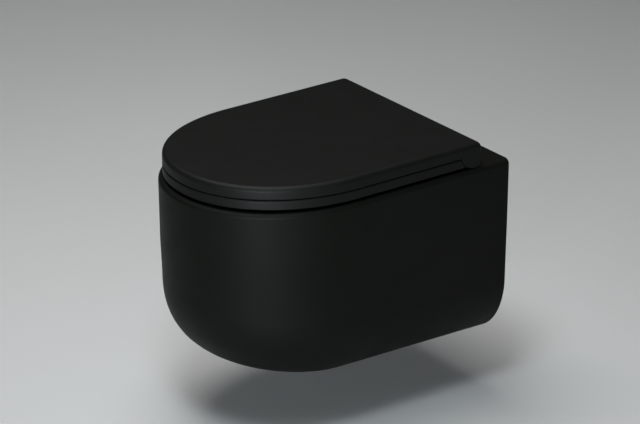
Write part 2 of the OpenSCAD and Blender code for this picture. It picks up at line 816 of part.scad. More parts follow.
module lid() color(thermoset) difference() {
    union() {
        lid_slab();
        lid_bar();
    }
    lid_recess();
    for (s = [-1, 1]) translate([s * (bay_in + bay_out) / 2, 0, 0])
        translate([-(bay_out - bay_in) / 2, -recess_back - 2, axis_z - bar_r - 2])
            cube([bay_out - bay_in, recess_back + 3 - lid_back, bay_top - axis_z + bar_r + 2]);
    bar_hollow(-bay_in + damper_l + 6, bay_in - damper_l - 6);
    bar_hollow(bay_out + 7, lid_w - lid_wall);
    bar_hollow(-lid_w + lid_wall, -bay_out - 7);
    turned_about_axis(1, damper_r + turn_clear, bay_in - damper_l, bay_in + 1);
    turned_about_axis(-1, damper_r + turn_clear, bay_in - bush_l, bay_in + 1);
}

module lid_buffers() color(rubber)
    buffers(lid_buffer_at, lid_buffer_r, seat_top + rest_gap, lid_ceiling - seat_top - rest_gap);

pan();
flush_deflector();
wall_bushes();
wall_washers();
wall_nuts();
hinge_base_left();
hinge_base_right();
base_gaskets();
seat_bolts();
expansion_plugs();
plug_nuts();
hinge_post_left();
hinge_post_right();
hinge_pin_left();
hinge_pin_right();
button_spring_left();
button_spring_right();
release_button_left();
release_button_right();
seat_ring();
seat_buffers();
seat_damper();
seat_bush();
lid();
lid_buffers();
lid_damper();
lid_bush();
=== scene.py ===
"""Wall-hung toilet in matt black: fine meshes for the china, the seat and the lid, with materials and light.

Shapes are worked out in millimetres, with part.scad's names and values where it has them, and become metres
when a mesh is made. The china, the seat and the lid repeat the solids' own formulas with more rings and
points. Four roundings differ from the solids, so that they catch the light as in the photograph: RIM_R,
LID_EDGE_R, LID_LOW_R and SEAT_LOW_R.
"""

import json
import math

import bmesh
import bpy
from mathutils import Matrix, Vector


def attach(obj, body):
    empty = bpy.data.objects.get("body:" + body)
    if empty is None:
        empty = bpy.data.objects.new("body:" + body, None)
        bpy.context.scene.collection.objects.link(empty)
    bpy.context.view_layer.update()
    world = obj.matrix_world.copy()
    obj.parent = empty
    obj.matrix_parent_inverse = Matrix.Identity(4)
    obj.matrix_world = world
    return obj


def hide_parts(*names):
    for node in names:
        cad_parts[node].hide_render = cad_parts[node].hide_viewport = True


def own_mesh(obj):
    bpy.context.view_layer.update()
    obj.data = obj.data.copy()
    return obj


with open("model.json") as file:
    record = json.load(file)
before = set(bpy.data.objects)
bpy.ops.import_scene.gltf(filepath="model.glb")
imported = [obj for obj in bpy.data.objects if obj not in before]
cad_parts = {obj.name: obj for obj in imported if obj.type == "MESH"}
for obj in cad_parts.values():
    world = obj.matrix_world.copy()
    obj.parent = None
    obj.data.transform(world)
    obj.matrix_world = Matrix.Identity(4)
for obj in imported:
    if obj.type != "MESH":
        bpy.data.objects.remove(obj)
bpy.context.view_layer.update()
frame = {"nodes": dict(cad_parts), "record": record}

MM = 0.001

# Pan: the belly curves are each a width, a height and a power
PAN_W, PAN_L, PAN_H = 360, 500, 304
SIDE_L = 288
NOSE_POWER = 2.08
SIDE_DRAFT, NOSE_DRAFT, DRAFT_RUN = 4.2, 3.4, 270
BELLY_RISE = 9.6
SIDE_BELLY = (68, 99, 1.82)
NOSE_BELLY = (149, 145, 2.48)
BELLY_TOP, SIDE_RINGS = 170, 4
RIM_R = 8
WALL_EDGE_R, HOLLOW_EDGE_R = 4, 0.5
SHELL_T, DECK_T = 11, 16

# Bowl
MOUTH_HALF_W = 120
FRONT_RIM_W = 44
MOUTH_BACK = 172
MOUTH_R = 9
SHELF_DEPTH, SHELF_W = 38, 7
WATER_DEPTH, WATER_HALF_W, WATER_FRONT = 196, 62, 292
SUMP_DEPTH, SUMP_HALF_W = 284, 36
BOWL_T = 9.5
EGG_BACK = 1.15
WALL_POWERS, FRONT_POWER = (2.2, 1.7), 1.5
SUMP_CURVE_IN, SUMP_CURVE_DOWN = 0.6, 0.72

# Trap, pipes and fixings
TRAP_W, TRAP_H, TRAP_BEND, TRAP_LEG = 66, 36, 34, 118
TRAP_LAP, OUTLET_LAP = 20, 4
RIM_Z = 80
FIXING_SPACING = 180
BUSH_HOLE_R, BOSS_L, BOSS_T = 13, 34, 9
INLET_UP, INLET_R, INLET_L = 35, 27.5, 45
SOCKET_T, SOCKET_END_T = 8, 7
FLUSH_R, FLUSH_LAP = 20, 30
OUTLET_DOWN, OUTLET_R, OUTLET_T, OUTLET_L, OUTLET_GAP = 100, 51, 9, 62, 6
PLATE_T, PLATE_LOW = 12, -46
PLATE_SIDE_LAP, PLATE_TOP_LAP = 2, 4
CHANNEL_SHORT, CHANNEL_LAP = 4, 2

# Seat, lid and hinge
SEAT_GAP, SEAT_T = 5, 15
SEAT_EDGE_R, SEAT_LOW_R, SEAT_IN_R = 3, 1.5, 6
SEAT_CORNER_R, SEAT_BACK_OVER = 2, 8
SEAT_HALF_W, SEAT_LIP = 108, 14
LID_GAP, LID_T, LID_SKIN, LID_WALL = 0.8, 20.4, 6, 7
LID_SIDE_IN, LID_NOSE_IN, LID_BACK = 4.2, 7.4, 53
LID_EDGE_R, LID_LOW_R, LID_CORNER_R = 8, 2.5, 5
RECESS_CORNER_R, RECESS_DOWN = 6, 20
AXIS_UP, AXIS_IN = 27, 14
EYE_R, BAR_R = 9.6, 26
BAR_IN, BAR_WALL, BAR_SKIN = 0.3, 6, 0.8
BAR_MOUTH_BACK, BAR_MOUTH_DOWN = 2, 12
BOLT_SPACING, BOLT_HOLE_R, BOLT_FORWARD = 155, 7.5, 7.5
BOLT_BOSS_T, BOSS_DROP = 8, 8
BASE_HALF_W, BASE_H, BASE_L = 15, 11, 42
POST_HALF_W, LUG_W = 7, 34
LUG_DOWN, LUG_GAP = 1, 0.2
LUG_TURN, LUG_TURN_STEP = 110, 5
DAMPER_R, BUSH_L = 6.5, 20
BUTTON_TRAVEL, BUTTON_PROUD, BUTTON_POCKET = 2.5, 3, 12
GASKET_T = 1
SPRING_R, SPRING_WIRE, SPRING_TURNS = 2.3, 0.25, 3
TURN_CLEAR, SWING_GAP = 0.05, 1.2
BAY_R = 32

# How far a cut reaches past the face that it opens
PAST = 1

FLOOR_Z = RIM_Z - PAN_H
SIDE_W = PAN_W / 2
SEAT_Z = RIM_Z + SEAT_GAP
SEAT_TOP = SEAT_Z + SEAT_T
LID_Z = SEAT_TOP + LID_GAP
LID_TOP = LID_Z + LID_T
LID_CEILING = LID_TOP - LID_SKIN
AXIS_Z = RIM_Z + AXIS_UP
AXIS_Y = -(LID_BACK + AXIS_IN)
LID_HALF_W = SIDE_W - LID_SIDE_IN
LID_L = PAN_L - LID_NOSE_IN
POST_X = BOLT_SPACING / 2
BAY_IN = POST_X - BASE_HALF_W - SWING_GAP
LUG_IN = POST_X + POST_HALF_W + SWING_GAP
LUG_OUT = LUG_IN + LUG_W
BAY_OUT = LUG_OUT + SWING_GAP
ARM_END = BAY_R + 6
DAMPER_L = LUG_W - 3
BAY_TOP = AXIS_Z + EYE_R + 0.6
RECESS_BACK = -AXIS_Y + BAR_R - 1
BOLT_Y = AXIS_Y - BOLT_FORWARD
MOUTH_FRONT = PAN_L - FRONT_RIM_W
SEAT_FRONT = MOUTH_FRONT - SEAT_LIP
SEAT_BACK = MOUTH_BACK + SEAT_LIP
SHELF_Z = RIM_Z - SHELF_DEPTH
WATER_Z = RIM_Z - WATER_DEPTH
SUMP_Z = RIM_Z - SUMP_DEPTH
WATER_BACK = MOUTH_BACK + 4
SUMP_FRONT = WATER_FRONT - 46
SUMP_BACK = WATER_BACK + 8
TRAP_FLOOR_Z = SUMP_Z + TRAP_H / 2 + 1
OUTLET_Z = -OUTLET_DOWN
OUTLET_END = OUTLET_GAP + OUTLET_L
FLUSH_WALL = RIM_Z - DECK_T - INLET_UP - FLUSH_R + CHANNEL_LAP
BUTTON_Z = RIM_Z + GASKET_T + (BASE_H - GASKET_T) / 2
SPRING_L = BUTTON_TRAVEL + 1.5
SPRING_Y = AXIS_Y - BASE_L + BUTTON_POCKET

# Steps along each stretch of the fine meshes
NOSE_STEPS = 90
EDGE_STEPS = 8
LOW_EDGE_STEPS = 3
BELLY_STEPS = 44
MOUTH_STEPS = 160
BOWL_STEPS, BOWL_BACK_STEPS = 30, 12
ROUND_STEPS = 96
SLOT_STEPS = 24
BEND_STEPS = 20
COIL_STEPS, WIRE_STEPS = 40, 10

# Points closer than this are one point, edges sharper than these angles stay sharp, and large faces outweigh
# small ones in the smooth normals by this much
SLIVER = 0.001
SHARP_ANGLE, COIL_SHARP_ANGLE = 32, 60
NORMAL_WEIGHT = 80


# Rings, as in part.scad

def mix(a, b, k):
    return a * (1 - k) + b * k


def sin_deg(u):
    return math.sin(math.radians(u))


def cos_deg(u):
    """Cosine of an angle up to 90 degrees, never below 0, so that a power of it is real."""
    return max(math.cos(math.radians(u)), 0.0)


def half_ring(a, l, s, back, edge):
    """Right half of a D, as (x, y, share of nose), from its back edge to the nose."""
    points = []
    for i in range(EDGE_STEPS):
        u = 90 * i / (EDGE_STEPS - 1)
        points.append((a - edge * (1 - sin_deg(u)), back - edge * (1 - cos_deg(u)), 0))
    for i in range(NOSE_STEPS + 1):
        t = 90 * i / NOSE_STEPS
        x = a * cos_deg(t) ** (2 / NOSE_POWER)
        y = -s - (l - s) * sin_deg(t) ** (2 / NOSE_POWER)
        points.append((x, y, sin_deg(t) ** 2))
    return points


def quarter(steps):
    """Angles of a quarter turn, in degrees."""
    return [90 * i / steps for i in range(steps + 1)]


def whole_ring(half):
    return half + [(-x, y, share) for x, y, share in reversed(half[:-1])]


def belly_ring(u, d, back, edge):
    """Ring of the pan's outside on the belly curve, at angle u, drawn in by d all over."""
    def inward(power):
        return 1 - cos_deg(u) ** (2 / power)

    def upward(power):
        return 1 - sin_deg(u) ** (2 / power)

    side_w, side_h, side_power = SIDE_BELLY
    nose_w, nose_h, nose_power = NOSE_BELLY
    a = SIDE_W - d - SIDE_DRAFT - (side_w - d / 2) * inward(side_power)
    l = PAN_L - d - NOSE_DRAFT - (nose_w - d / 2) * inward(nose_power)
    up_side = (side_h - d / 2) * upward(side_power)
    up_nose = (nose_h - d / 2) * upward(nose_power)
    return [(x, y, FLOOR_Z + d + up_side * (1 - n) + up_nose * n - BELLY_RISE * y / PAN_L)
            for x, y, n in whole_ring(half_ring(a, l, SIDE_L, back, edge))]


def rim_ring(z, d, back, edge):
    """Ring of the pan's outside near the rim, drawn in by d."""
    k = (RIM_Z - z) / DRAFT_RUN
    half = half_ring(SIDE_W - d - SIDE_DRAFT * k, PAN_L - d - NOSE_DRAFT * k, SIDE_L, back, edge)
    return [(x, y, z) for x, y, _ in whole_ring(half)]


def slab_ring(z, d, back, edge):
    """Ring in the outline of the seat and lid, drawn in by d."""
    ring = whole_ring(half_ring(LID_HALF_W - d, LID_L - d, SIDE_L, -back - d, edge))
    return [(x, y, z) for x, y, _ in ring]


def egg(a, front, back, z, d=0):
    """Egg-shaped ring of half-width a, drawn out by d."""
    points = []
    mid = back + min(a * EGG_BACK, (front - back) / 2)
    for i in range(MOUTH_STEPS):
        t = 2 * math.pi * i / MOUTH_STEPS
        half_l = front - mid if math.sin(t) < 0 else mid - back
        points.append(((a + d) * math.cos(t), -mid + (half_l + d) * math.sin(t), z))
    return points


def bowl_ring(v, d):
    """Ring of the bowl at share v of the way from the shelf to the water, drawn out by d."""
    first, second = WALL_POWERS
    k = 1 - (1 - v ** first) ** (1 / second)
    return egg(mix(MOUTH_HALF_W - SHELF_W, WATER_HALF_W, k),
               mix(MOUTH_FRONT - SHELF_W, WATER_FRONT, 1 - (1 - v ** FRONT_POWER) ** (1 / FRONT_POWER)),
               mix(MOUTH_BACK + SHELF_W, WATER_BACK, k),
               mix(SHELF_Z - SHELF_W, WATER_Z, v) - d * v, d)


# Meshes

def mesh_object(name, points, faces):
    mesh = bpy.data.meshes.new(name)
    mesh.from_pydata([(x * MM, y * MM, z * MM) for x, y, z in points], [], faces)
    fixer = bmesh.new()
    fixer.from_mesh(mesh)
    bmesh.ops.recalc_face_normals(fixer, faces=fixer.faces)
    fixer.to_mesh(mesh)
    fixer.free()
    made = bpy.data.objects.new(name, mesh)
    bpy.context.collection.objects.link(made)
    return made


def skin(name, rings):
    """Closed solid through a stack of rings."""
    n = len(rings[0])
    points = [p for ring in rings for p in ring]
    faces = [list(range(n)), [(len(rings) - 1) * n + i for i in range(n)]]
    for j in range(len(rings) - 1):
        for i in range(n):
            k = (i + 1) % n
            faces.append([j * n + i, j * n + k, (j + 1) * n + k, (j + 1) * n + i])
    return mesh_object(name, points, faces)


def block(name, low, high):
    ring = [(low[0], low[1]), (high[0], low[1]), (high[0], high[1]), (low[0], high[1])]
    return skin(name, [[(x, y, z) for x, y in ring] for z in (low[2], high[2])])


def prism(name, plan, low, high):
    """Upright solid over the ring plan, whose own heights don't count."""
    return skin(name, [[(x, y, z) for x, y, _ in plan] for z in (low, high)])


def circle(r):
    angles = [2 * math.pi * i / ROUND_STEPS for i in range(ROUND_STEPS)]
    return [(r * math.cos(t), r * math.sin(t)) for t in angles]


def along_y(name, r, start, end, x=0, z=0):
    """Cylinder along Y, from one distance from the wall to another."""
    return skin(name, [[(x + u, -d, z + v) for u, v in circle(r)] for d in (start, end)])


def along_x(name, r, start, end, y=AXIS_Y, z=AXIS_Z):
    return skin(name, [[(x, y + u, z + v) for u, v in circle(r)] for x in (start, end)])


def upright(name, r, low, high, x, y):
    return skin(name, [[(x + u, y + v, z) for u, v in circle(r)] for z in (low, high)])


def profile_along_x(name, profile, start, end):
    """Solid along X with a profile of points (y, z) measured from the hinge axis."""
    return skin(name, [[(x, AXIS_Y + u, AXIS_Z + v) for u, v in profile] for x in (start, end)])


def slot_section(w, h):
    """Round-ended slot, w wide and h high, as points (x, z)."""
    points = []
    for side, start in ((1, -90), (-1, 90)):
        for i in range(SLOT_STEPS + 1):
            u = start + 180 * i / SLOT_STEPS
            points.append((side * (w - h) / 2 + h / 2 * math.cos(math.radians(u)),
                           h / 2 * math.sin(math.radians(u))))
    return points


def trap(name, d, start_y, end_y):
    """The trap's passage grown by d, swept in from the sump, up, and back to the outlet."""
    section = slot_section(TRAP_W + 2 * d, TRAP_H + 2 * d)
    low_y, high_y = -(TRAP_LEG + TRAP_BEND), -(TRAP_LEG - TRAP_BEND)
    path = [(start_y, TRAP_FLOOR_Z, 0)]
    for u in quarter(BEND_STEPS):
        path.append((low_y + TRAP_BEND * sin_deg(u), TRAP_FLOOR_Z + TRAP_BEND * (1 - cos_deg(u)), u))
    for u in reversed(quarter(BEND_STEPS)):
        path.append((high_y - TRAP_BEND * sin_deg(u), OUTLET_Z - TRAP_BEND * (1 - cos_deg(u)), u))
    path.append((end_y, OUTLET_Z, 0))
    rings = [[(x, y - v * sin_deg(u), z + v * cos_deg(u)) for x, v in section] for y, z, u in path]
    return skin(name, rings)


def combine(base, tools, operation):
    """Joins the tools to base, cuts them from it or keeps what they share with it, and deletes them."""
    for tool in tools:
        step = base.modifiers.new("step", "BOOLEAN")
        step.operation = operation
        step.solver = "EXACT"
        step.object = tool
        bpy.context.view_layer.update()
        shaped = bpy.data.meshes.new_from_object(base.evaluated_get(bpy.context.evaluated_depsgraph_get()))
        base.modifiers.clear()
        old = base.data
        base.data = shaped
        bpy.data.meshes.remove(old)
        bpy.data.objects.remove(tool)
    return base


def join(base, tools):
    return combine(base, tools, "UNION")


def cut(base, tools):
    return combine(base, tools, "DIFFERENCE")


def close_slivers(mesh):
    """Merges points that the cuts leave a thousandth of a millimetre apart, and drops faces without area."""
    work = bmesh.new()
    work.from_mesh(mesh)
    bmesh.ops.remove_doubles(work, verts=work.verts, dist=SLIVER * MM)
    bmesh.ops.dissolve_degenerate(work, edges=work.edges, dist=SLIVER * MM)
    work.to_mesh(mesh)
    work.free()


def finish_surface(piece, sharp_angle=SHARP_ANGLE):
    """Smooth faces, with sharp edges where the form has them and flat faces that stay flat."""
    mesh = piece.data
    close_slivers(mesh)
    mesh.name = piece.name
    mesh.polygons.foreach_set("use_smooth", [True] * len(mesh.polygons))
    mesh.set_sharp_from_angle(angle=math.radians(sharp_angle))
    weighted = piece.modifiers.new("weighted_normal", "WEIGHTED_NORMAL")
    weighted.keep_sharp = True
    weighted.weight = NORMAL_WEIGHT


# The china

def make_pan():
    outside = skin("pan_china", [
        *[rim_ring(RIM_Z - RIM_R * (1 - cos_deg(u)), RIM_R * (1 - sin_deg(u)), 0, WALL_EDGE_R)
          for u in quarter(EDGE_STEPS)],
        *[rim_ring(mix(RIM_Z - RIM_R, FLOOR_Z + BELLY_TOP, k / SIDE_RINGS), 0, 0, WALL_EDGE_R)
          for k in range(1, SIDE_RINGS)],
        *[belly_ring(u, 0, 0, WALL_EDGE_R) for u in quarter(BELLY_STEPS)]])
    hollow = skin("hollow", [
        rim_ring(RIM_Z - DECK_T, SHELL_T, PAST, HOLLOW_EDGE_R),
        *[belly_ring(u, SHELL_T, PAST, HOLLOW_EDGE_R) for u in quarter(BELLY_STEPS // 2)]])
    cut(outside, [hollow])
    half_plate = SIDE_W - SHELL_T + PLATE_SIDE_LAP
    fixing_x, bolt_low = FIXING_SPACING / 2, RIM_Z - DECK_T - BOSS_DROP
    join(outside, [
        bowl_outside(),
        block("plate", (-half_plate, -PLATE_T, PLATE_LOW), (half_plate, 0, RIM_Z - DECK_T + PLATE_TOP_LAP)),
        *[along_y("boss", BUSH_HOLE_R + BOSS_T, PLATE_T / 2, BOSS_L, x) for x in (-fixing_x, fixing_x)],
        along_y("socket", INLET_R + SOCKET_T, PLATE_T / 2, INLET_L + SOCKET_END_T, z=INLET_UP),
        along_y("channel", FLUSH_R + FLUSH_WALL, INLET_L, MOUTH_BACK - CHANNEL_SHORT, z=INLET_UP),
        trap("trap_china", BOWL_T, -(WATER_BACK + TRAP_LAP), -(OUTLET_END - OUTLET_T / 2)),
        along_y("outlet", OUTLET_R, OUTLET_GAP, OUTLET_END, z=OUTLET_Z),
        *[upright("bolt_boss", BOLT_HOLE_R + BOLT_BOSS_T, bolt_low, bolt_low + DECK_T, x, BOLT_Y)
          for x in (-POST_X, POST_X)]])
    cut(outside, [
        bowl_inside(),
        *[along_y("bush_hole", BUSH_HOLE_R, -PAST, BOSS_L + PAST, x) for x in (-fixing_x, fixing_x)],
        *[upright("bolt_hole", BOLT_HOLE_R, bolt_low - PAST, RIM_Z + PAST, x, BOLT_Y)
          for x in (-POST_X, POST_X)],
        along_y("inlet_bore", INLET_R, -PAST, INLET_L, z=INLET_UP),
        along_y("flush_bore", FLUSH_R, INLET_L - PAST, MOUTH_BACK + FLUSH_LAP, z=INLET_UP),
        along_y("outlet_bore", OUTLET_R - OUTLET_T, OUTLET_GAP - PAST, OUTLET_END - OUTLET_T, z=OUTLET_Z),
        trap("trap_bore", 0, -(SUMP_BACK + TRAP_LAP), -(OUTLET_END - OUTLET_T - OUTLET_LAP))])
    finish_surface(outside)
    return outside


def bowl_outside():
    return skin("bowl_outside", [
        egg(MOUTH_HALF_W, MOUTH_FRONT, MOUTH_BACK, RIM_Z - DECK_T / 2, BOWL_T),
        egg(MOUTH_HALF_W, MOUTH_FRONT, MOUTH_BACK, SHELF_Z - BOWL_T, BOWL_T),
        *[bowl_ring(i / BOWL_BACK_STEPS, BOWL_T) for i in range(1, BOWL_BACK_STEPS)],
        egg(WATER_HALF_W, WATER_FRONT, WATER_BACK, WATER_Z - BOWL_T, BOWL_T),
        egg(SUMP_HALF_W, SUMP_FRONT, SUMP_BACK, SUMP_Z - BOWL_T, BOWL_T)])


def bowl_inside():
    return skin("bowl_inside", [
        *rounded_mouth(MOUTH_HALF_W, MOUTH_FRONT, MOUTH_BACK, RIM_Z, MOUTH_R),
        egg(MOUTH_HALF_W, MOUTH_FRONT, MOUTH_BACK, SHELF_Z),
        *[bowl_ring(i / BOWL_STEPS, 0) for i in range(BOWL_STEPS + 1)],
        egg(mix(WATER_HALF_W, SUMP_HALF_W, SUMP_CURVE_IN), mix(WATER_FRONT, SUMP_FRONT, SUMP_CURVE_IN),
            mix(WATER_BACK, SUMP_BACK, SUMP_CURVE_IN), mix(WATER_Z, SUMP_Z, SUMP_CURVE_DOWN)),
        egg(SUMP_HALF_W, SUMP_FRONT, SUMP_BACK, SUMP_Z)])


def rounded_mouth(a, front, back, top, r):
    """Rings of an egg-shaped opening whose edge is rounded to radius r below height top."""
    rings = [egg(a + r, front + r, back - r, top + PAST)]
    for u in quarter(EDGE_STEPS):
        out = r * (1 - sin_deg(u))
        rings.append(egg(a + out, front + out, back - out, top - r * (1 - cos_deg(u))))
    return rings


# The seat

def lug_profile():
    """Side view of a lug: the eye on the axis and the arm that runs forward and down into the ring."""
    top = SEAT_TOP - AXIS_Z - LUG_DOWN
    low = RIM_Z + BASE_H + SWING_GAP + LUG_GAP - AXIS_Z
    angles = [math.radians(u) for u in range(-LUG_TURN, LUG_TURN + 1, LUG_TURN_STEP)]
    return [(EYE_R * math.cos(t), EYE_R * math.sin(t)) for t in angles] + [(-ARM_END, top), (-ARM_END, low)]


def seat_slab_ring(z, d):
    return slab_ring(z, d, -AXIS_Y + SEAT_BACK_OVER, SEAT_CORNER_R)


def make_seat():
    seat = skin("seat_shell", [
        *[seat_slab_ring(SEAT_TOP - SEAT_EDGE_R * (1 - cos_deg(u)), SEAT_EDGE_R * (1 - sin_deg(u)))
          for u in quarter(EDGE_STEPS)],
        *[seat_slab_ring(SEAT_Z + SEAT_LOW_R * (1 - cos_deg(u)), SEAT_LOW_R * (1 - sin_deg(u)))
          for u in reversed(quarter(EDGE_STEPS))]])
    cut(seat, [
        along_x("arc", BAR_R + SWING_GAP, -LID_HALF_W - 5 * PAST, LID_HALF_W + 5 * PAST),
        *[along_x("bay", BAY_R, *sorted((s * BAY_IN, s * BAY_OUT))) for s in (-1, 1)]])
    join(seat, [profile_along_x("lug", lug_profile(), *sorted((s * LUG_IN, s * LUG_OUT))) for s in (-1, 1)])
    pocket_x = BASE_HALF_W + SWING_GAP
    pocket_front = AXIS_Y - BASE_L - BUTTON_PROUD - SWING_GAP
    cut(seat, [
        skin("opening", [*rounded_mouth(SEAT_HALF_W, SEAT_FRONT, SEAT_BACK, SEAT_TOP, SEAT_IN_R),
                         egg(SEAT_HALF_W, SEAT_FRONT, SEAT_BACK, SEAT_Z - PAST)]),
        *[block("pocket", (x - pocket_x, pocket_front, SEAT_Z - PAST),
                (x + pocket_x, pocket_front + BASE_L, RIM_Z + BASE_H + SWING_GAP))
          for x in (-POST_X, POST_X)],
        along_x("damper_bore", DAMPER_R + TURN_CLEAR, -LUG_IN - DAMPER_L, -LUG_IN + PAST),
        along_x("bush_bore", DAMPER_R + TURN_CLEAR, LUG_IN - PAST, LUG_IN + BUSH_L)])
    finish_surface(seat)
    return seat


# The lid

def make_lid():
    lid = skin("lid_shell", [
        *[slab_ring(LID_TOP - LID_EDGE_R * (1 - cos_deg(u)), LID_EDGE_R * (1 - sin_deg(u)), LID_BACK,
                    LID_CORNER_R) for u in quarter(EDGE_STEPS)],
        *[slab_ring(LID_Z + LID_LOW_R * (1 - cos_deg(u)), LID_LOW_R * (1 - sin_deg(u)), LID_BACK,
                    LID_CORNER_R) for u in reversed(quarter(LOW_EDGE_STEPS))]])
    bar = along_x("bar", BAR_R, -LID_HALF_W, LID_HALF_W)
    plan = slab_ring(0, BAR_IN, LID_BACK, LID_CORNER_R)
    combine(bar, [prism("bar_limit", plan, AXIS_Z - BAR_R - PAST, AXIS_Z + 2 * PAST)], "INTERSECT")
    join(lid, [bar])
    recess_plan = slab_ring(0, LID_WALL, RECESS_BACK - LID_WALL, RECESS_CORNER_R)
    hollows = [prism("recess", recess_plan, AXIS_Z - RECESS_DOWN, LID_CEILING)]
    for s in (-1, 1):
        x0, x1 = sorted((s * BAY_IN, s * BAY_OUT))
        hollows.append(block("bay", (x0, -RECESS_BACK - 2 * PAST, AXIS_Z - BAR_R - 2 * PAST),
                             (x1, PAST - LID_BACK, BAY_TOP)))
    inner, outer = BAY_IN - DAMPER_L - BAR_WALL, BAY_OUT + LID_WALL
    for x0, x1 in ((-inner, inner), (outer, LID_HALF_W - LID_WALL), (-LID_HALF_W + LID_WALL, -outer)):
        hollows.append(bar_hollow(x0, x1))
    hollows.append(along_x("damper_bore", DAMPER_R + TURN_CLEAR, BAY_IN - DAMPER_L, BAY_IN + PAST))
    hollows.append(along_x("bush_bore", DAMPER_R + TURN_CLEAR, -BAY_IN - PAST, -BAY_IN + BUSH_L))
    cut(lid, hollows)
    finish_surface(lid)
    return lid


def bar_hollow(x0, x1):
    """Hollow in the lid's bar, open to the recess in front of it."""
    back, top = AXIS_IN - BAR_WALL, LID_CEILING - AXIS_Z - BAR_SKIN
    round_part = along_x("hollow", BAR_R - BAR_WALL, x0, x1)
    limit = block("limit", (x0 - PAST, AXIS_Y - BAR_R, AXIS_Z - BAR_R),
                  (x1 + PAST, AXIS_Y + back, AXIS_Z + top))
    combine(round_part, [limit], "INTERSECT")
    way_in = block("way_in", (x0, AXIS_Y - BAR_R - BAR_MOUTH_BACK, AXIS_Z - BAR_MOUTH_DOWN),
                   (x1, AXIS_Y - BAR_MOUTH_BACK, AXIS_Z + top))
    return join(round_part, [way_in])


# The springs of the release buttons

def make_spring(name, x):
    """Coil from the back of the button's pocket to the back of the button."""
    rings = []
    steps = SPRING_TURNS * COIL_STEPS
    for i in range(steps + 1):
        t = 2 * math.pi * i / COIL_STEPS
        y = SPRING_Y + mix(-SPRING_WIRE, SPRING_WIRE - SPRING_L, i / steps)
        ring = []
        for k in range(WIRE_STEPS):
            u = 2 * math.pi * k / WIRE_STEPS
            r = SPRING_R - SPRING_WIRE + SPRING_WIRE * math.cos(u)
            ring.append((x + r * math.cos(t), y + SPRING_WIRE * math.sin(u), BUTTON_Z + r * math.sin(t)))
        rings.append(ring)
    spring = skin(name, rings)
    finish_surface(spring, COIL_SHARP_ANGLE)
    return spring


# Materials

# Black of the glaze and the thermoset, with a slight green tint that is a painted reflection of green
# surroundings; the clouds between the darkest and lightest are the material's own tone
BLACKS_WITH_PAINTED_GREEN_REFLECTION = ((0.0027, 0.0031, 0.0023), (0.0033, 0.0037, 0.0029))
GREYS = ((0.035, 0.035, 0.038), (0.045, 0.045, 0.048))
RUBBER_BLACKS = ((0.012, 0.012, 0.012), (0.018, 0.018, 0.018))
CHROME_GREYS = ((0.78, 0.78, 0.8), (0.84, 0.84, 0.85))
STEEL_GREYS = ((0.56, 0.56, 0.57), (0.64, 0.64, 0.64))
BRASS_YELLOWS = ((0.6, 0.43, 0.17), (0.68, 0.5, 0.21))

# Each material slot's finish: name, darkest and lightest colour, lowest and highest roughness, grain as
# scale, strength and depth in millimetres, metallic, specular level
FINISHES = {
    "china_black": ("matt_glaze", BLACKS_WITH_PAINTED_GREEN_REFLECTION, (0.5, 0.56), (1300, 0.1, 0.02), 0, 0.085),
    "thermoset_black": ("satin_thermoset", BLACKS_WITH_PAINTED_GREEN_REFLECTION, (0.5, 0.56), (2100, 0.12, 0.015), 0, 0.14),
    "nylon_grey": ("nylon", GREYS, (0.45, 0.55), (1800, 0.2, 0.03), 0, 0.5),
    "rubber_black": ("rubber", RUBBER_BLACKS, (0.6, 0.72), (1500, 0.3, 0.04), 0, 0.5),
    "chrome": ("chrome", CHROME_GREYS, (0.1, 0.16), (700, 0.05, 0.01), 1, 0.5),
    "steel": ("steel", STEEL_GREYS, (0.26, 0.36), (1600, 0.15, 0.02), 1, 0.5),
    "brass": ("brass", BRASS_YELLOWS, (0.26, 0.36), (1400, 0.15, 0.02), 1, 0.5)}

# Scales of the clouds in a colour and in a roughness, and the middle range that a noise value mostly stays in
CLOUD_SCALE, ROUGH_SCALE = 14, 14 * 2.3
NOISE_DETAIL, ROUGH_DETAIL = 3, 4
NOISE_LOW, NOISE_HIGH = 0.3, 0.7


def new_material(name):
    material = bpy.data.materials.new(name)
    material.use_nodes = True
    nodes = material.node_tree.nodes
    return material, nodes, material.node_tree.links, nodes["Principled BSDF"]


def noise(nodes, links, scale, detail=NOISE_DETAIL):
    coordinates = nodes.new("ShaderNodeTexCoord")
    texture = nodes.new("ShaderNodeTexNoise")
    texture.inputs["Scale"].default_value = scale
    texture.inputs["Detail"].default_value = detail
    links.new(coordinates.outputs["Object"], texture.inputs["Vector"])
    return texture.outputs["Fac"]


def spread(nodes, links, value, low, high):
    """The noise value, stretched from its usual middle range to low and high."""
    scaled = nodes.new("ShaderNodeMapRange")
    scaled.inputs["From Min"].default_value = NOISE_LOW
    scaled.inputs["From Max"].default_value = NOISE_HIGH
    scaled.inputs["To Min"].default_value = low
    scaled.inputs["To Max"].default_value = high
    links.new(value, scaled.inputs["Value"])
    return scaled.outputs["Result"]


def blend_colours(nodes, links, value, dark, light):
    ramp = nodes.new("ShaderNodeValToRGB")
    for stop, place, colour in zip(ramp.color_ramp.elements, (NOISE_LOW, NOISE_HIGH), (dark, light)):
        stop.position = place
        stop.color = (*colour, 1)
    links.new(value, ramp.inputs["Fac"])
    return ramp.outputs["Color"]


